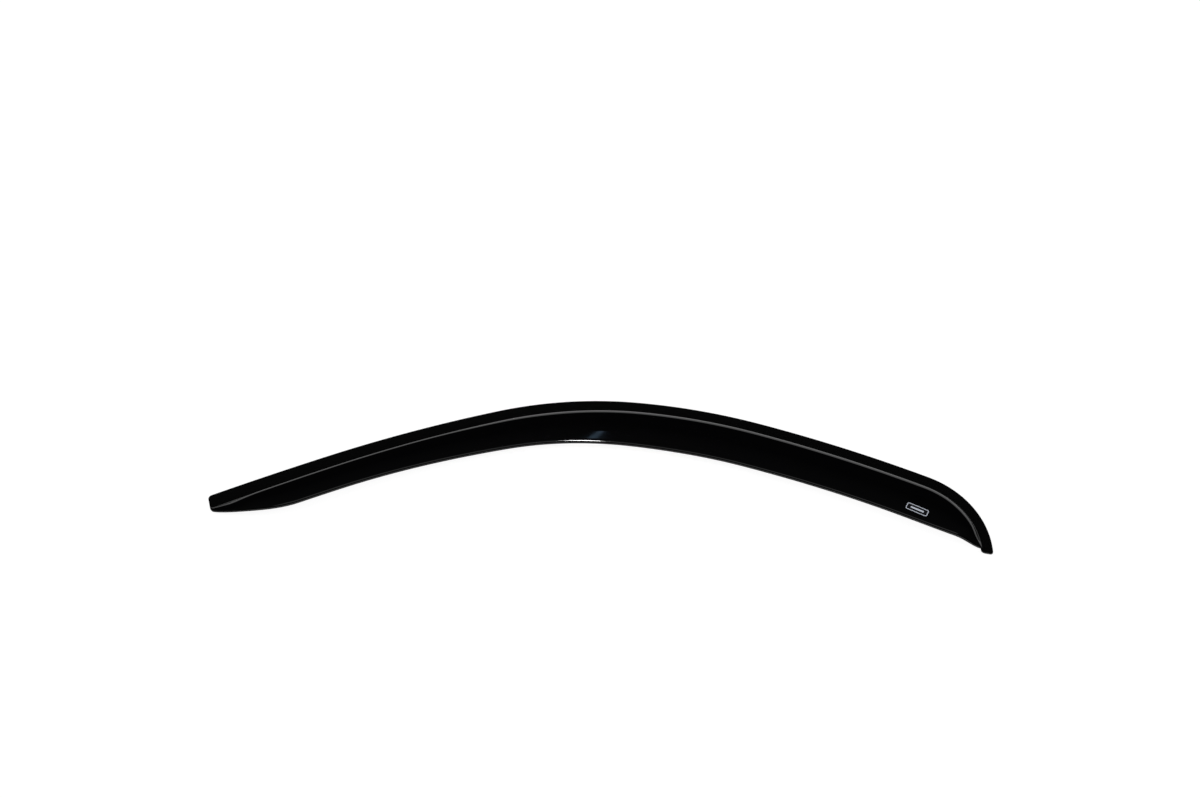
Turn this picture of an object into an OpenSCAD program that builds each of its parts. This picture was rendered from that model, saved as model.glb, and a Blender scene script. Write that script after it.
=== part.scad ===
// Stick-on rain deflector for the side window of a car's left front door.
// It lies on its back: +X runs to the rear of the car, +Y up the window and
// +Z out from the door. Z = 0 is the face that goes against the door frame.

/* [Outer edge] */
// Heading of the edge at the front tip, in degrees above level
front_heading = 27.8; // [22:0.1:33]
// Length of the run up the windscreen pillar
pillar_len = 150.5; // [110:1:190]
// How far that run turns, in degrees
pillar_turn = 2; // [0.5:0.1:4]
// Length of the run that eases off the pillar
ease_len = 221; // [180:1:270]
// How far that run turns, in degrees
ease_turn = 7.4; // [5:0.1:11]
// Length of the bend over the front corner of the window
crest_len = 175; // [140:1:210]
// How far that bend turns, in degrees
crest_turn = 20.8; // [15:0.1:26]
// Length of the bend into the roof line
brow_len = 156; // [120:1:190]
// How far that bend turns, in degrees
brow_turn = 12.2; // [9:0.1:17]
// Length of the run along the roof
roof_len = 219; // [180:1:270]
// How far that run turns, in degrees
roof_turn = 7; // [4:0.1:10]
// Length of the bend down the rear pillar
tail_len = 136.5; // [120:1:155]
// How far that bend turns, in degrees
tail_turn = 68.4; // [55:0.1:75]

/* [Widths] */
// Flat width of the mounting flange at the front tip
flange_w_front = 18.4; // [14:0.1:20]
// Flat width of the flange along the roof
flange_w_rear = 14.2; // [13:0.1:18]
// Flat width of the flange at the rear end
flange_w_end = 12.4; // [9:0.1:14]
// Width over flange and blade, along the pillar
front_w = 57.5; // [48:0.1:64]
// Width over flange and blade at the middle of the brow
brow_w = 74.1; // [64:0.1:78]
// Width over flange and blade, at the end of the roof run
rear_w = 72.3; // [62:0.1:76]
// Blade left beside the flange at the front tip
tip_blade_w = 2.6; // [2:0.1:8]
// Blade left beside the flange at the rear end
tail_blade_w = 0.8; // [0.8:0.1:3]

/* [Ends] */
// Length over which the blade grows out of the front tip
tip_run = 98; // [70:1:130]
// Angle between the edge's normal and the cut across the front tip
tip_cut = 9; // [0:1:20]
// Angle between outer edge and blade edge at the front tip
tip_flare = 38; // [20:1:45]
// Corner radius at the front tip
tip_corner_r = 4.5; // [2:0.1:6]
// Angle between the edge's normal and the cut across the rear end
tail_cut = 8; // [0:1:30]
// Angle between outer edge and blade edge at the rear end
tail_flare = 72; // [50:1:75]
// Length of flange past the end of the blade
tail_tab = 6.5; // [4:0.5:12]
// Corner radius of the flange at the rear end
tail_corner_r = 3.5; // [1:0.1:4]

/* [Section] */
// Thickness of the moulded acrylic
wall = 2.5; // [2:0.1:3.5]
// Rounding along the flange's outer edge
flange_edge_r = 0.8; // [0.3:0.1:1.2]
// Radius in the corner between flange and step
step_base_r = 1.5; // [0.8:0.1:3]
// Slope of the step, in degrees
step_slope = 60; // [45:1:70]
// Height of the step from flange to blade
step_h = 9; // [7:0.5:14]
// Radius over the top of the step, along the pillar
shoulder_r_front = 5; // [3.5:0.5:12]
// Radius over the top of the step, along the roof
shoulder_r = 10; // [3.5:0.5:12]
// Radius over the top of the step, at the rear end
shoulder_r_end = 4; // [3.5:0.5:12]
// Slope at which the blade leaves the step, in degrees
crown_lead = 9; // [5:0.5:14]
// Slope at which the blade reaches its lip, in degrees
crown_fall = 7; // [3:0.5:12]
// Radius of the lip that rolls down along the free edge
lip_r = 4.7; // [4:0.1:8]
// Slope of the lip at its end, in degrees
lip_slope = 60; // [40:1:75]
// Blade width at which the blade has its full height
rise_w = 34; // [24:1:36]

/* [Tape] */
// Width of the foam tape
tape_w = 10; // [6:0.5:11]
// Thickness of the foam tape
tape_t = 1.1; // [0.8:0.1:1.6]
// Distance of the tape from the flange's outer edge
tape_inset = 1.5; // [1:0.1:2]
// Distance of the foam from both ends of the flange
tape_end_gap = 12; // [8:1:20]
// Thickness of the liner film on the foam
liner_t = 0.1; // [0.05:0.05:0.2]
// How far the liner runs past the foam as a pull tab
liner_tab = 5; // [0:0.5:6]

/* [Label] */
// Length of the foil label
label_len = 28; // [20:1:40]
// Width of the foil label
label_w = 10; // [6:0.5:14]
// Thickness of the foil label
label_t = 0.2; // [0.1:0.05:0.4]
// Corner radius of the foil label
label_r = 2.5; // [1:0.5:4]
// Distance of the label's centre from the rear end, along the outer edge
label_back = 131; // [110:1:200]
// Distance of the label's centre from the blade's free edge
label_up = 14; // [12:0.1:25]

/* [Hidden] */

// Foil and blade are this far apart, so that the facets of one never cross the other
label_glue = 0.03;
// Flats that make up each rounded corner and each bend of the section
CORNER_SEGMENTS = 5;
BASE_SEGMENTS = 3;
SHOULDER_SEGMENTS = 4;
CROWN_SEGMENTS = 8;
LIP_SEGMENTS = 6;
NOSE_SEGMENTS = 4;
EDGE_SEGMENTS = 2;
// Cells of the label's face, across it and along it
LABEL_ROWS = 12;
LABEL_COLS = 10;
// Longest stretch of edge between two cross-sections, between the ends and along them
GENTLE_STEP = 12;
TIGHT_STEP = 7;
// Step and lip are squeezed where the blade is narrower than this many times their own width
SQUEEZE_FROM = 1.6;

// Each leg of the outer edge is an arc: its length, and how far it turns clockwise
LEGS = [
    [pillar_len, pillar_turn],
    [ease_len, ease_turn],
    [crest_len, crest_turn],
    [brow_len, brow_turn],
    [roof_len, roof_turn],
    [tail_len, tail_turn]
];

function total(list, i = 0) = i == len(list) ? 0 : list[i] + total(list, i + 1);
function mix(a, b, f) = a + (b - a) * f;
function smooth(f) = let (g = min(1, max(0, f))) g * g * (3 - 2 * g);
function towards(angle) = [cos(angle), sin(angle)];
function leg_radius(leg) = leg[0] / (leg[1] * PI / 180);

// End of a clockwise arc that starts at p with the given heading
function arc_end(p, heading, radius, turn) =
    p + radius * [sin(heading) - sin(heading - turn), cos(heading - turn) - cos(heading)];

LEG_FROM = [for (i = [0 : len(LEGS)]) total([for (j = [0 : 1 : i - 1]) LEGS[j][0]])];
LEG_HEADING = [for (i = [0 : len(LEGS)]) front_heading - total([for (j = [0 : 1 : i - 1]) LEGS[j][1]])];
function leg_point(i) = i == 0
    ? [0, 0]
    : arc_end(leg_point(i - 1), LEG_HEADING[i - 1], leg_radius(LEGS[i - 1]), LEGS[i - 1][1]);
LEG_POINT = [for (i = [0 : len(LEGS)]) leg_point(i)];
EDGE_LEN = LEG_FROM[len(LEGS)];
TAIL_FROM = LEG_FROM[len(LEGS) - 1];
BROW_FROM = pillar_len + ease_len + crest_len;
BROW_MID = BROW_FROM + brow_len / 2;
EASE_MID = pillar_len + ease_len / 2;
CREST_MID = BROW_FROM - crest_len / 2;
BLADE_END = EDGE_LEN - tail_tab;

function leg_at(s, i = 0) = i == len(LEGS) - 1 || s < LEG_FROM[i + 1] ? i : leg_at(s, i + 1);
function edge_heading(s) = let (i = leg_at(s)) LEG_HEADING[i] - LEGS[i][1] * (s - LEG_FROM[i]) / LEGS[i][0];
function edge_point(s) = let (i = leg_at(s))
    arc_end(LEG_POINT[i], LEG_HEADING[i], leg_radius(LEGS[i]), LEGS[i][1] * (s - LEG_FROM[i]) / LEGS[i][0]);
function inward(s) = towards(edge_heading(s) - 90);

function flange_w(s) = s < TAIL_FROM
    ? mix(flange_w_front, flange_w_rear, min(1, s / BROW_FROM))
    : mix(flange_w_rear, flange_w_end, smooth((s - TAIL_FROM) / tail_len));
function body_w(s) = s < BROW_MID
    ? mix(front_w, brow_w, smooth((s - pillar_len) / (BROW_MID - pillar_len)))
    : mix(brow_w, rear_w, smooth((s - BROW_MID) / (TAIL_FROM - BROW_MID)));

function top_r(s) = s < TAIL_FROM
    ? mix(shoulder_r_front, shoulder_r, smooth((s - EASE_MID) / (CREST_MID - EASE_MID)))
    : mix(shoulder_r, shoulder_r_end, smooth((s - TAIL_FROM) / tail_len));

// Cubic from p to q that leaves p and reaches q with the given tangents
function cubic(p, p_tangent, q, q_tangent, f) =
    p * (2 * f ^ 3 - 3 * f ^ 2 + 1) + p_tangent * (f ^ 3 - 2 * f ^ 2 + f)
    + q * (3 * f ^ 2 - 2 * f ^ 3) + q_tangent * (f ^ 3 - f ^ 2);

// The blade's free edge, in plan: parallel to the outer edge in the middle, closing on it at both ends
function parallel_edge(s) = edge_point(s) + body_w(s) * inward(s);
function lower_edge(s) =
    s < tip_run
    ? cubic(TIP_CORNER, tip_run * towards(front_heading - tip_flare), parallel_edge(tip_run),
        tip_run * towards(edge_heading(tip_run)), s / tip_run)
    : s < TAIL_FROM
    ? parallel_edge(s)
    : s < BLADE_END
    ? cubic(parallel_edge(TAIL_FROM), TAIL_CHORD * towards(edge_heading(TAIL_FROM)), tab_edge(BLADE_END),
        TAIL_CHORD * towards(edge_heading(EDGE_LEN) + tail_flare), (s - TAIL_FROM) / (BLADE_END - TAIL_FROM))
    : tab_edge(s);
// Inner side of the bare tab of flange past the blade
function tab_edge(s) = edge_point(s)
    + (flange_w(s) / cos(tail_cut) + tail_blade_w) * towards(edge_heading(s) - 90 - tail_cut);
TIP_CORNER = edge_point(0)
    + (flange_w_front / cos(tip_cut) + tip_blade_w) * towards(edge_heading(0) - 90 - tip_cut);
TAIL_CHORD = norm(tab_edge(BLADE_END) - parallel_edge(TAIL_FROM));

function ruling(s) = let (d = lower_edge(s) - edge_point(s)) d / norm(d);
// Flange width measured along the ruling, and what is left for the blade
function flange_run(s) = flange_w(s) / (ruling(s) * inward(s));
function blade_w(s) = norm(lower_edge(s) - edge_point(s)) - flange_run(s);

// Cross-section of the step, with radius r over its top: distance from the flange, height over it, slope
BASE_END = step_base_r * [sin(step_slope), 1 - cos(step_slope)];
function flat_end(r) =
    BASE_END + (step_h - BASE_END[1] - r * (cos(crown_lead) - cos(step_slope))) * [1 / tan(step_slope), 1];
function step_rows(r) = concat(
    [for (i = [0 : BASE_SEGMENTS]) let (a = step_slope * i / BASE_SEGMENTS)
        [step_base_r * sin(a), step_base_r * (1 - cos(a)), a]],
    [for (i = [0 : SHOULDER_SEGMENTS]) let (a = mix(step_slope, crown_lead, i / SHOULDER_SEGMENTS))
        [flat_end(r)[0] + r * (sin(step_slope) - sin(a)), flat_end(r)[1] + r * (cos(a) - cos(step_slope)), a]]
);
function step_run(r) = flat_end(r)[0] + r * (sin(step_slope) - sin(crown_lead));
LIP_ROWS = [for (i = [1 : LIP_SEGMENTS]) let (a = mix(crown_fall, lip_slope, i / LIP_SEGMENTS))
    [lip_r * (sin(a) - sin(crown_fall)), lip_r * (cos(a) - cos(crown_fall)), -a]];
LIP_RUN = LIP_ROWS[LIP_SEGMENTS - 1][0];
function squeeze(s) = min(1, blade_w(s) / (SQUEEZE_FROM * (step_run(top_r(s)) + LIP_RUN)));

// Outer skin of the blade. At its narrow ends it is squeezed across and lies lower
function skin(s) = let (
    b = blade_w(s),
    across = squeeze(s),
    up = smooth(b / rise_w),
    rise = across * step_run(top_r(s)),
    run = b - rise - across * LIP_RUN,
    crown_r = run / (sin(crown_lead) + sin(crown_fall)),
    crown_h = crown_r * (cos(crown_fall) - cos(crown_lead))
) concat(
    [for (p = step_rows(top_r(s))) [across * p[0], up * p[1], atan(tan(p[2]) * up / across)]],
    [for (i = [1 : CROWN_SEGMENTS]) let (a = mix(crown_lead, -crown_fall, i / CROWN_SEGMENTS))
        [rise + crown_r * (sin(crown_lead) - sin(a)),
            up * (step_h + crown_r * (cos(a) - cos(crown_lead))), atan(tan(a) * up)]],
    [for (p = LIP_ROWS) [b - across * (LIP_RUN - p[0]), up * (step_h + crown_h + p[1]),
        atan(tan(p[2]) * up / across)]]
);
// The inner side is one wall away; where the skin is squeezed it is dropped straight down instead
function inner_side(p, across) = [p[0] + across * wall * sin(p[2]), p[1] - wall * mix(1, cos(p[2]), across)];

FLANGE_BACK = liner_t + tape_t;
FLANGE_FRONT = FLANGE_BACK + wall;

// One closed cross-section: distance from the outer edge and height. Both corners of an end are cut back
function section(s, inset) = let (
    across = squeeze(s),
    rows = skin(s),
    inner = [for (p = rows) inner_side(p, across)],
    w = flange_run(s) - inset,
    last = len(rows) - 1,
    nose_mid = ([rows[last][0], rows[last][1]] + inner[last]) / 2,
    nose = [rows[last][0], rows[last][1]] - nose_mid
) concat(
    [[inset, FLANGE_BACK]],
    [for (i = [0 : EDGE_SEGMENTS]) let (a = 90 * i / EDGE_SEGMENTS)
        [inset + flange_edge_r * (1 - cos(a)), FLANGE_FRONT - flange_edge_r * (1 - sin(a))]],
    [for (p = rows) [w + p[0], FLANGE_FRONT + p[1]]],
    [for (i = [1 : NOSE_SEGMENTS - 1]) let (a = 180 * i / NOSE_SEGMENTS)
        [w, FLANGE_FRONT] + nose_mid + cos(a) * nose + sin(a) * [nose[1], -nose[0]]],
    [for (i = [last : -1 : 0]) [w, FLANGE_FRONT] + inner[i]]
);

// Stations along the edge, with how far the corners are cut back at each
function corner(r) = [for (i = [0 : CORNER_SEGMENTS - 1]) let (a = 90 * i / CORNER_SEGMENTS)
    [r * (1 - cos(a)), r * (1 - sin(a))]];
function stretch(from, to, step) = let (n = ceil((to - from) / step))
    [for (i = [0 : n - 1]) [mix(from, to, i / n), 0]];
STATIONS = concat(
    corner(tip_corner_r),
    stretch(tip_corner_r, tip_run, TIGHT_STEP),
    stretch(tip_run, pillar_len, GENTLE_STEP),
    stretch(pillar_len, TAIL_FROM, GENTLE_STEP),
    stretch(TAIL_FROM, BLADE_END, TIGHT_STEP),
    stretch(BLADE_END, EDGE_LEN - tail_corner_r, TIGHT_STEP),
    [for (i = [CORNER_SEGMENTS : -1 : 0]) let (a = 90 * i / CORNER_SEGMENTS)
        [EDGE_LEN - tail_corner_r * (1 - cos(a)), tail_corner_r * (1 - sin(a))]]
);

// The plan is drawn from the front tip, and its box is centred on the origin
PLAN = [for (k = STATIONS) each [edge_point(k[0]) + k[1] * ruling(k[0]), lower_edge(k[0])]];
function middle(values) = (min(values) + max(values)) / 2;
CENTRE = [middle([for (p = PLAN) p[0]]), middle([for (p = PLAN) p[1]])];

function placed(s, p) = let (q = edge_point(s) + p[0] * ruling(s) - CENTRE) [q[0], q[1], p[1]];

module swept(rings) {
    n = len(rings[0]);
    m = len(rings);
    polyhedron(
        points = [for (r = rings) each r],
        faces = concat(
            [[for (j = [0 : n - 1]) j]],
            [for (k = [0 : m - 2], j = [0 : n - 1]) let (a = k * n + j, b = k * n + (j + 1) % n)
                each [[a, a + n, b], [b, a + n, b + n]]],
            [[for (j = [n - 1 : -1 : 0]) (m - 1) * n + j]]
        ),
        convexity = 10
    );
}

// Flange, step, blade and lip are one moulding of dark acrylic
module visor() {
    color([0.02, 0.02, 0.025])
        swept([for (k = STATIONS) [for (p = section(k[0], k[1])) placed(k[0], p)]]);
}

// A flat strip under the flange, between two distances along the edge
module strip(from, to) {
    n = ceil((to - from) / TIGHT_STEP);
    s = [for (i = [0 : n]) mix(from, to, i / n)];
    polygon(concat(
        [for (k = s) edge_point(k) + tape_inset * inward(k) - CENTRE],
        [for (i = [n : -1 : 0]) edge_point(s[i]) + (tape_inset + tape_w) * inward(s[i]) - CENTRE]
    ));
}

module foam_tape() {
    color([0.12, 0.12, 0.12])
        translate([0, 0, liner_t])
            linear_extrude(tape_t)
                strip(tape_end_gap, EDGE_LEN - tape_end_gap);
}

module release_liner() {
    color([0.75, 0.05, 0.05])
        linear_extrude(liner_t)
            strip(tape_end_gap - liner_tab, EDGE_LEN - tape_end_gap + liner_tab);
}

// Distance along the edge of the ruling through a point of the plan, looked for between two others
function ruling_at(q, from, to, halvings = 14) = let (m = (from + to) / 2)
    halvings == 0
    ? m
    : cross(ruling(m), q - edge_point(m)) > 0
    ? ruling_at(q, m, to, halvings - 1)
    : ruling_at(q, from, m, halvings - 1);

// Height of the blade's outer face over the flange, beyond the step
function face_height(s, d) = let (
    run = blade_w(s) - step_run(top_r(s)) - LIP_RUN,
    crown_r = run / (sin(crown_lead) + sin(crown_fall)),
    a = asin(sin(crown_lead) - (d - flange_run(s) - step_run(top_r(s))) / crown_r)
) step_h + crown_r * (cos(a) - cos(crown_lead));

// Point over the blade's face, from its place along and across the label
LABEL_S = EDGE_LEN - label_back;
LABEL_MID = lower_edge(LABEL_S) - label_up * ruling(LABEL_S);
function label_point(u, v, off) = let (
    q = LABEL_MID + u * towards(edge_heading(LABEL_S)) + v * inward(LABEL_S),
    s = ruling_at(q, LABEL_S - label_len, LABEL_S + label_len),
    p = q - CENTRE
) [p[0], p[1], FLANGE_FRONT + face_height(s, norm(q - edge_point(s))) + off];

// Half length of the label at a distance across it from its centre
function label_half_len(v) = let (d = max(0, abs(v) - (label_w / 2 - label_r)))
    label_len / 2 - label_r + sqrt(max(0, label_r ^ 2 - d ^ 2));

// A row of points along the label
function label_row(i, off) = let (v = label_w / 2 * cos(180 * i / LABEL_ROWS))
    [for (j = [0 : LABEL_COLS]) label_point(label_half_len(v) * (2 * j / LABEL_COLS - 1), v, off)];

// The foil follows the blade
module label() {
    color([0.78, 0.8, 0.84])
        swept([for (i = [0 : LABEL_ROWS]) let (face = label_row(i, label_glue + label_t))
            concat(label_row(i, label_glue), [for (j = [LABEL_COLS : -1 : 0]) face[j]])]);
}

visor();
foam_tape();
release_liner();
label();
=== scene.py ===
import bpy
import math
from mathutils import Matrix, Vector


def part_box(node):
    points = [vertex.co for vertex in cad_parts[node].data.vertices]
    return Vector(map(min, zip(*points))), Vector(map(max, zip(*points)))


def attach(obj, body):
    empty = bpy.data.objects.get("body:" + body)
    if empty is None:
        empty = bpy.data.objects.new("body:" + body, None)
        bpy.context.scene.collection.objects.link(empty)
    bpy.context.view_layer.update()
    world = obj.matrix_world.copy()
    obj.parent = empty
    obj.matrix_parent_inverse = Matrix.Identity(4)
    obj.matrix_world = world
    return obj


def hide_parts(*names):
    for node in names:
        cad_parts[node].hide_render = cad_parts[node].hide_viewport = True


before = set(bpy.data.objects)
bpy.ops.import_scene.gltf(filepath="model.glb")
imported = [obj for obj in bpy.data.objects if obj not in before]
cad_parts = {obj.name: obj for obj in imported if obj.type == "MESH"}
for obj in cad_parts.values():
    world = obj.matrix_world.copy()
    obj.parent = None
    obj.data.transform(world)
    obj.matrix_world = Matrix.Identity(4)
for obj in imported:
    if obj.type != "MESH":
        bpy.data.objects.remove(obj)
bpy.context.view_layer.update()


# The visor is one moulding of black acrylic sheet, formed hot over a tool and trimmed to its outline.
# The step, the blade and the rolled lip keep the sheet's polish. The front of the flange is matte, with the
# fine grain of the tool, and the trimmed edges are satin. Its shape is that of the CAD solid.
POLISH_BLACK = (0.0008, 0.0008, 0.001, 1)
# The grain's tops and pits: the darker pit colour is painted shade in the hollows of the grain.
GRAIN_TOP_BLACK = (0.0015, 0.0015, 0.0016, 1)
GRAIN_PIT_PAINTED_SHADE = (0.0005, 0.0005, 0.0005, 1)
TRIM_BLACK = (0.002, 0.002, 0.0022, 1)
ACRYLIC_IOR = 1.49
SHEET = 0.0025
FLANGE_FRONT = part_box("foam_tape")[1].z + SHEET
FLANGE_REACH = 0.00001
TRIMMED_WITHIN = 0.45
GRAINED = 1
TRIMMED = 2
SAME_POINT = 0.000001
FLAT_ENOUGH = math.radians(40)
ANY_SHAPE = math.radians(180)
SHARP_FROM = math.radians(50)


def select_only(piece=None):
    """Nothing else stays selected, so that an operator acts on this piece alone."""
    if bpy.context.mode != "OBJECT":
        bpy.ops.object.mode_set(mode="OBJECT")
    bpy.ops.object.select_all(action="DESELECT")
    if piece:
        piece.hide_set(False)
        piece.select_set(True)
        bpy.context.view_layer.objects.active = piece


def new_material(name, colour, roughness):
    """A material with its nodes, its links and its Principled BSDF."""
    material = bpy.data.materials.new(name)
    material.use_nodes = True
    tree = material.node_tree
    skin = tree.nodes["Principled BSDF"]
    skin.inputs["Base Color"].default_value = colour
    skin.inputs["Roughness"].default_value = roughness
    return material, tree.nodes, tree.links, skin


def new_group(name, takes, gives):
    """A node group with named sockets, and the nodes at its two ends."""
    group = bpy.data.node_groups.new(name, "ShaderNodeTree")
    for socket, kind in takes:
        group.interface.new_socket(socket, in_out="INPUT", socket_type="NodeSocket" + kind)
    for socket, kind in gives:
        group.interface.new_socket(socket, in_out="OUTPUT", socket_type="NodeSocket" + kind)
    return group, group.nodes.new("NodeGroupInput"), group.nodes.new("NodeGroupOutput")


def place_group(nodes, group, **values):
    """The group as a node, with its inputs set by name."""
    node = nodes.new("ShaderNodeGroup")
    node.node_tree = group
    for socket, value in values.items():
        node.inputs[socket].default_value = value
    return node


def handling_marks():
    """Broad, faint patches, as wiping and handling leave them, between a low and a high value."""
    group, taken, given = new_group(
        "handling_marks", [("Scale", "Float"), ("Low", "Float"), ("High", "Float")], [("Value", "Float")]
    )
    place = group.nodes.new("ShaderNodeTexCoord")
    patches = group.nodes.new("ShaderNodeTexNoise")
    patches.inputs["Detail"].default_value = 4
    spread = group.nodes.new("ShaderNodeMapRange")
    group.links.new(place.outputs["Object"], patches.inputs["Vector"])
    group.links.new(taken.outputs["Scale"], patches.inputs["Scale"])
    group.links.new(patches.outputs["Fac"], spread.inputs["Value"])
    group.links.new(taken.outputs["Low"], spread.inputs["To Min"])
    group.links.new(taken.outputs["High"], spread.inputs["To Max"])
    group.links.new(spread.outputs["Result"], given.inputs["Value"])
    return group


def fine_cells():
    """Small rounded cells: how deep each point lies in its cell, and the normal that this gives."""
    group, taken, given = new_group(
        "fine_cells", [("Scale", "Float"), ("Depth", "Float")], [("Pit", "Float"), ("Normal", "Vector")]
    )
    place = group.nodes.new("ShaderNodeTexCoord")
    cells = group.nodes.new("ShaderNodeTexVoronoi")
    cells.feature = "SMOOTH_F1"
    relief = group.nodes.new("ShaderNodeBump")
    group.links.new(place.outputs["Object"], cells.inputs["Vector"])
    group.links.new(taken.outputs["Scale"], cells.inputs["Scale"])
    group.links.new(cells.outputs["Distance"], relief.inputs["Height"])
    group.links.new(taken.outputs["Depth"], relief.inputs["Distance"])
    group.links.new(cells.outputs["Distance"], given.inputs["Pit"])
    group.links.new(relief.outputs["Normal"], given.inputs["Normal"])
    return group


MARKS = handling_marks()
CELLS = fine_cells()


def polished_acrylic():
    material, nodes, links, skin = new_material("polished_black_acrylic", POLISH_BLACK, 0.05)
    skin.inputs["IOR"].default_value = ACRYLIC_IOR
    wiped = place_group(nodes, MARKS, Scale=35, Low=0.01, High=0.05)
    links.new(wiped.outputs["Value"], skin.inputs["Roughness"])
    return material


def grained_acrylic():
    material, nodes, links, skin = new_material("grained_black_acrylic_painted_pit_shade", GRAIN_TOP_BLACK, 0.3)
    skin.inputs["IOR"].default_value = ACRYLIC_IOR
    skin.inputs["Specular IOR Level"].default_value = 0.15
    grain = place_group(nodes, CELLS, Scale=1500, Depth=0.00003)
    # The grain's pits are painted darker than its tops. This is painted shade in the hollows, on top of the
    # real bump.
    shade = nodes.new("ShaderNodeMix")
    shade.data_type = "RGBA"
    shade.inputs["A"].default_value = GRAIN_PIT_PAINTED_SHADE
    shade.inputs["B"].default_value = GRAIN_TOP_BLACK
    links.new(grain.outputs["Pit"], shade.inputs["Factor"])
    links.new(shade.outputs["Result"], skin.inputs["Base Color"])
    links.new(grain.outputs["Normal"], skin.inputs["Normal"])
    return material


def trimmed_acrylic():
    material, nodes, links, skin = new_material("trimmed_black_acrylic", TRIM_BLACK, 0.45)
    skin.inputs["IOR"].default_value = ACRYLIC_IOR
    skin.inputs["Specular IOR Level"].default_value = 0.2
    sanded = place_group(nodes, MARKS, Scale=900, Low=0.35, High=0.55)
    links.new(sanded.outputs["Value"], skin.inputs["Roughness"])
    return material


select_only()
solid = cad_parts["visor"]
visor = solid.copy()
visor.data = solid.data.copy()
visor.name = "visor_moulding"
visor.parent = None
bpy.context.collection.objects.link(visor)
select_only(visor)
bpy.ops.object.mode_set(mode="EDIT")
bpy.ops.mesh.select_all(action="SELECT")
bpy.ops.mesh.remove_doubles(threshold=SAME_POINT)
bpy.ops.mesh.tris_convert_to_quads(face_threshold=FLAT_ENOUGH, shape_threshold=ANY_SHAPE)
bpy.ops.object.mode_set(mode="OBJECT")
visor.data.materials.clear()
for finish in (polished_acrylic(), grained_acrylic(), trimmed_acrylic()):
    visor.data.materials.append(finish)
for face in visor.data.polygons:
    on_flange = face.center.z < FLANGE_FRONT + FLANGE_REACH
    if abs(face.normal.z) < TRIMMED_WITHIN:
        face.material_index = TRIMMED
    elif on_flange and face.normal.z > 0:
        face.material_index = GRAINED
bpy.ops.object.shade_smooth_by_angle(angle=SHARP_FROM)
even = visor.modifiers.new("even_shading", "WEIGHTED_NORMAL")
even.keep_sharp = True
bpy.ops.object.modifier_apply(modifier=even.name)
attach(visor, "root")
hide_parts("visor")


# The tape runs the length of the flange's back. It is closed-cell acrylic foam, dark grey and matte, with
# adhesive on both faces, die-cut to follow the outer edge.
# The lighter grey is the foam's own colour at the cell rims. The darker one is painted shade in the cells'
# pits.
FOAM_PIT_PAINTED_SHADE = (0.018, 0.018, 0.018, 1)
FOAM_LIGHT = (0.045, 0.045, 0.045, 1)


def acrylic_foam():
    material, nodes, links, skin = new_material("acrylic_foam", FOAM_PIT_PAINTED_SHADE, 0.9)
    cells = place_group(nodes, CELLS, Scale=2500, Depth=0.0001)
    # The cells' pits are painted darker than their rims. This is painted shade in the hollows, with the
    # bump on top.
    shade = nodes.new("ShaderNodeMix")
    shade.data_type = "RGBA"
    shade.inputs["A"].default_value = FOAM_PIT_PAINTED_SHADE
    shade.inputs["B"].default_value = FOAM_LIGHT
    links.new(cells.outputs["Pit"], shade.inputs["Factor"])
    links.new(shade.outputs["Result"], skin.inputs["Base Color"])
    links.new(cells.outputs["Normal"], skin.inputs["Normal"])
    return material


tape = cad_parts["foam_tape"]
tape.data.materials.clear()
tape.data.materials.append(acrylic_foam())


# The liner is a thin red film that covers the tape's outer face until the deflector is fitted. It runs a
# little past the foam at both ends, so that it can be peeled off.
LINER_DEEP = (0.5, 0.015, 0.015, 1)
LINER_PALE = (0.64, 0.04, 0.03, 1)


def liner_film():
    material, nodes, links, skin = new_material("liner_film", LINER_DEEP, 0.35)
    haze = place_group(nodes, MARKS, Scale=60, Low=0.28, High=0.42)
    clouds = place_group(nodes, MARKS, Scale=20, Low=0.0, High=1.0)
    shade = nodes.new("ShaderNodeMix")
    shade.data_type = "RGBA"
    shade.inputs["A"].default_value = LINER_DEEP
    shade.inputs["B"].default_value = LINER_PALE
    links.new(clouds.outputs["Value"], shade.inputs["Factor"])
    links.new(shade.outputs["Result"], skin.inputs["Base Color"])
    links.new(haze.outputs["Value"], skin.inputs["Roughness"])
    return material


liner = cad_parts["release_liner"]
liner.data.materials.clear()
liner.data.materials.append(liner_film())


# The label near the rear end is a thin aluminium plate glued to the blade. Its field is filled in black,
# and a satin rim and a plain bar are left bare. The bare metal is drawn as a pale blue-white colour with
# little metal in the shader: a painted sheen in place of its reflection.
LABEL_TURN = math.radians(-24.1)
LABEL_HALF_LEN = 0.014
LABEL_HALF_WIDTH = 0.005
LABEL_CORNER = 0.0025
RIM_IN = 0.0008
RIM_HALF = 0.00045
BAR_HALF_LEN = 0.0085
BAR_HALF_WIDTH = 0.0011
BAR_CORNER = 0.001
LABEL_FIELD = (0.004, 0.004, 0.006, 1)
LABEL_SILVER_PAINTED_SHEEN = (0.72, 0.77, 0.86, 1)


def rounded_shape():
    """Distance of a point from the outline of a rectangle with round corners, negative inside."""
    group, taken, given = new_group(
        "rounded_shape",
        [("Place", "Vector"), ("Core", "Vector"), ("Corner", "Float")],
        [("Distance", "Float")],
    )
    steps = []
    for operation in ("MULTIPLY", "ABSOLUTE", "SUBTRACT", "MAXIMUM", "LENGTH"):
        step = group.nodes.new("ShaderNodeVectorMath")
        step.operation = operation
        if steps:
            group.links.new(steps[-1].outputs["Vector"], step.inputs[0])
        steps.append(step)
    steps[0].inputs[1].default_value = (1, 1, 0)
    past = group.nodes.new("ShaderNodeMath")
    past.operation = "SUBTRACT"
    group.links.new(taken.outputs["Place"], steps[0].inputs[0])
    group.links.new(taken.outputs["Core"], steps[2].inputs[1])
    group.links.new(steps[-1].outputs["Value"], past.inputs[0])
    group.links.new(taken.outputs["Corner"], past.inputs[1])
    group.links.new(past.outputs["Value"], given.inputs["Distance"])
    return group


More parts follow.
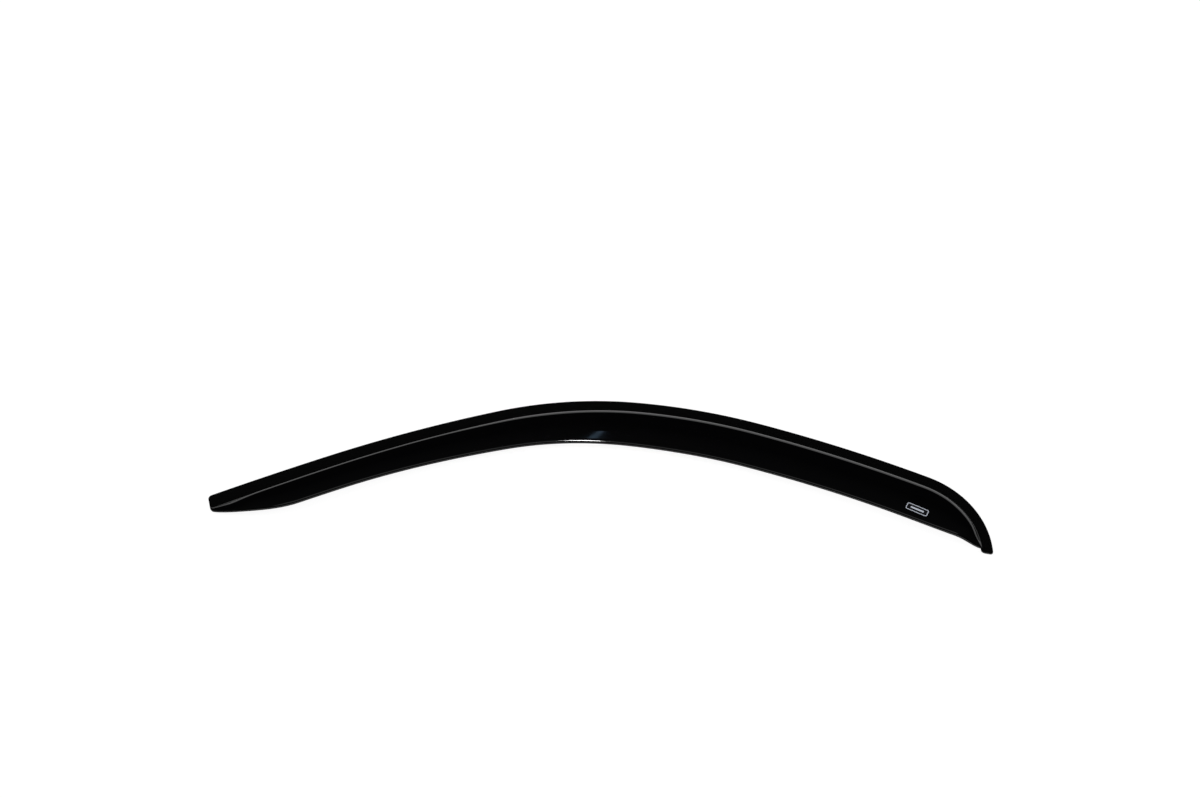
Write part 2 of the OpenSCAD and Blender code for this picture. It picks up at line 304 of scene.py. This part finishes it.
def label_plate():
    material, nodes, links, skin = new_material("label_plate", LABEL_FIELD, 0.4)
    skin.inputs["Metallic"].default_value = 0.2
    low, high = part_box("label")
    place = nodes.new("ShaderNodeTexCoord")
    turned = nodes.new("ShaderNodeMapping")
    turned.vector_type = "TEXTURE"
    turned.inputs["Location"].default_value = (low + high) / 2
    turned.inputs["Rotation"].default_value = (0, 0, LABEL_TURN)
    links.new(place.outputs["Object"], turned.inputs["Vector"])
    shape = rounded_shape()
    plate_core = (LABEL_HALF_LEN - LABEL_CORNER, LABEL_HALF_WIDTH - LABEL_CORNER, 0)
    bar_core = (BAR_HALF_LEN - BAR_CORNER, BAR_HALF_WIDTH - BAR_CORNER, 0)
    outline = place_group(nodes, shape, Core=plate_core, Corner=LABEL_CORNER)
    bar = place_group(nodes, shape, Core=bar_core, Corner=BAR_CORNER)
    on_rim = nodes.new("ShaderNodeMath")
    on_rim.operation = "COMPARE"
    on_rim.inputs[1].default_value = -RIM_IN
    on_rim.inputs[2].default_value = RIM_HALF
    on_bar = nodes.new("ShaderNodeMath")
    on_bar.operation = "LESS_THAN"
    on_bar.inputs[1].default_value = 0
    bare = nodes.new("ShaderNodeMath")
    bare.operation = "MAXIMUM"
    # The black field is print. The pale blue-white of the bare rim and bar is a painted sheen for the
    # metal.
    shade = nodes.new("ShaderNodeMix")
    shade.data_type = "RGBA"
    shade.inputs["A"].default_value = LABEL_FIELD
    shade.inputs["B"].default_value = LABEL_SILVER_PAINTED_SHEEN
    satin = place_group(nodes, MARKS, Scale=400, Low=0.3, High=0.5)
    links.new(turned.outputs["Vector"], outline.inputs["Place"])
    links.new(turned.outputs["Vector"], bar.inputs["Place"])
    links.new(outline.outputs["Distance"], on_rim.inputs[0])
    links.new(bar.outputs["Distance"], on_bar.inputs[0])
    links.new(on_rim.outputs["Value"], bare.inputs[0])
    links.new(on_bar.outputs["Value"], bare.inputs[1])
    links.new(bare.outputs["Value"], shade.inputs["Factor"])
    links.new(shade.outputs["Result"], skin.inputs["Base Color"])
    links.new(satin.outputs["Value"], skin.inputs["Roughness"])
    return material


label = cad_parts["label"]
label.data.materials.clear()
label.data.materials.append(label_plate())


# The deflector lies on a white paper floor, tape down. The paper is seen a little brighter than the lamps
# make it, directly and in the polish, so that it is white and the shadow on it stays faint.
FLOOR_SIZE = 60
FLOOR_DROP = 0.0005
PAPER_WHITE = (0.82, 0.82, 0.82, 1)
PAPER_GLOW = 1.18
GLOW_SHARE = 0.78

bpy.ops.mesh.primitive_plane_add(size=FLOOR_SIZE, location=(0, 0, -FLOOR_DROP))
floor = bpy.context.object
floor.name = "floor"
paper, nodes, links, skin = new_material("white_paper", PAPER_WHITE, 0.9)
skin.inputs["Specular IOR Level"].default_value = 0
rays = nodes.new("ShaderNodeLightPath")
seen = nodes.new("ShaderNodeMath")
seen.operation = "MAXIMUM"
looked_at = nodes.new("ShaderNodeMath")
looked_at.operation = "MAXIMUM"
share = nodes.new("ShaderNodeMath")
share.operation = "MULTIPLY"
share.inputs[1].default_value = GLOW_SHARE
glow = nodes.new("ShaderNodeEmission")
glow.inputs["Strength"].default_value = PAPER_GLOW
both = nodes.new("ShaderNodeMixShader")
links.new(rays.outputs["Is Camera Ray"], seen.inputs[0])
links.new(rays.outputs["Is Glossy Ray"], seen.inputs[1])
links.new(seen.outputs["Value"], looked_at.inputs[0])
links.new(rays.outputs["Is Transmission Ray"], looked_at.inputs[1])
links.new(looked_at.outputs["Value"], share.inputs[0])
links.new(share.outputs["Value"], both.inputs["Fac"])
links.new(skin.outputs["BSDF"], both.inputs[1])
links.new(glow.outputs["Emission"], both.inputs[2])
links.new(both.outputs["Shader"], nodes["Material Output"].inputs["Surface"])
floor.data.materials.append(paper)


# A wide, dim softbox overhead draws a thin grey line along the lip, a small gridded lamp makes that line
# flash in the middle, and a narrow blue one farther back leaves a faint spot on the blade. Two large boxes
# at the sides only fill: they are kept out of the reflections, where they would show as patches.
def lamp(name, at, aim, width, depth, radiance, colour=(1, 1, 1)):
    """A rectangular lamp, equally bright all over its face."""
    bpy.ops.object.light_add(type="AREA", location=at)
    made = bpy.context.object
    made.name = name
    made.data.shape = "RECTANGLE"
    made.data.size = width
    made.data.size_y = depth
    made.data.energy = radiance * math.pi * width * depth
    made.data.color = colour
    made.rotation_euler = (Vector(aim) - Vector(at)).to_track_quat("-Z", "Y").to_euler()
    return made


def grid(light, spread):
    """A grid on a lamp: only points near its axis see it, and there it is as bright as before."""
    half = spread / 2
    light.data.spread = spread
    light.data.energy *= 1 - half / math.tan(half)


OVERHEAD = 2.2
FLASH_SPREAD = math.radians(10)
BLUE_X = -0.1056
BLUE_Y = 1.185
PALE_BLUE = (0.45, 0.7, 1)
SIDE_DISTANCE = 2.4
SIDE_HEIGHT = 1.9

lamp("softbox", at=(0.05, -0.5, OVERHEAD), aim=(0.05, -0.5, 0), width=0.9, depth=0.9, radiance=0.6)
flash = lamp(
    "gridded_lamp",
    at=(-0.048, -0.43, OVERHEAD),
    aim=(-0.02, -0.02, 0),
    width=0.078,
    depth=0.3,
    radiance=180,
)
grid(flash, FLASH_SPREAD)
lamp(
    "blue_lamp",
    at=(BLUE_X, BLUE_Y, OVERHEAD),
    aim=(BLUE_X, BLUE_Y, 0),
    width=0.011,
    depth=0.4,
    radiance=1.5,
    colour=PALE_BLUE,
)
for side, name in ((-1, "left_box"), (1, "right_box")):
    stand = (side * SIDE_DISTANCE, 0, SIDE_HEIGHT)
    box = lamp(name, at=stand, aim=(0, 0, 0), width=1.6, depth=1.6, radiance=4.2)
    box.visible_glossy = False


# The room has white walls all round, up to WALL_TOP above the horizon, and a dark ceiling, a little lighter
# overhead. The rounded top of the step reflects the walls as a grey line, and the blade reflects the
# ceiling and stays black.
WALL_TOP = math.radians(28)
CEILING_FROM = math.radians(34)
CEILING = 0.006
OVERHEAD_FROM = math.radians(50)
OVERHEAD_GLOW = 0.04

world = bpy.data.worlds.new("studio")
bpy.context.scene.world = world
world.use_nodes = True
nodes, links = world.node_tree.nodes, world.node_tree.links
place = nodes.new("ShaderNodeTexCoord")
split = nodes.new("ShaderNodeSeparateXYZ")
fade = nodes.new("ShaderNodeMapRange")
fade.interpolation_type = "SMOOTHSTEP"
fade.inputs["From Min"].default_value = math.sin(WALL_TOP)
fade.inputs["From Max"].default_value = math.sin(CEILING_FROM)
fade.inputs["To Min"].default_value = 1
fade.inputs["To Max"].default_value = CEILING
lighter = nodes.new("ShaderNodeMapRange")
lighter.inputs["From Min"].default_value = math.sin(OVERHEAD_FROM)
lighter.inputs["To Max"].default_value = OVERHEAD_GLOW
both = nodes.new("ShaderNodeMath")
both.operation = "ADD"
room = nodes["Background"]
room.inputs["Color"].default_value = (1, 1, 1, 1)
links.new(place.outputs["Generated"], split.inputs["Vector"])
links.new(split.outputs["Z"], fade.inputs["Value"])
links.new(split.outputs["Z"], lighter.inputs["Value"])
links.new(fade.outputs["Result"], both.inputs[0])
links.new(lighter.outputs["Result"], both.inputs[1])
links.new(both.outputs["Value"], room.inputs["Strength"])
bpy.context.scene.view_settings.view_transform = "Standard"


# The camera looks down at the deflector from the side of its free edge, so that the blade fills the view
# and the step behind it shows only as a line.
CAMERA_AT = (0.08656, -1.37883, 1.97155)
LOOK_DOWN = math.radians(53)
TURN_LEFT = math.radians(3.675)
SENSOR = 36
LENS = 58.8

bpy.ops.object.camera_add(location=CAMERA_AT, rotation=(math.pi / 2 - LOOK_DOWN, 0, TURN_LEFT))
camera = bpy.context.object
camera.data.sensor_width = SENSOR
camera.data.lens = LENS
bpy.context.scene.camera = camera
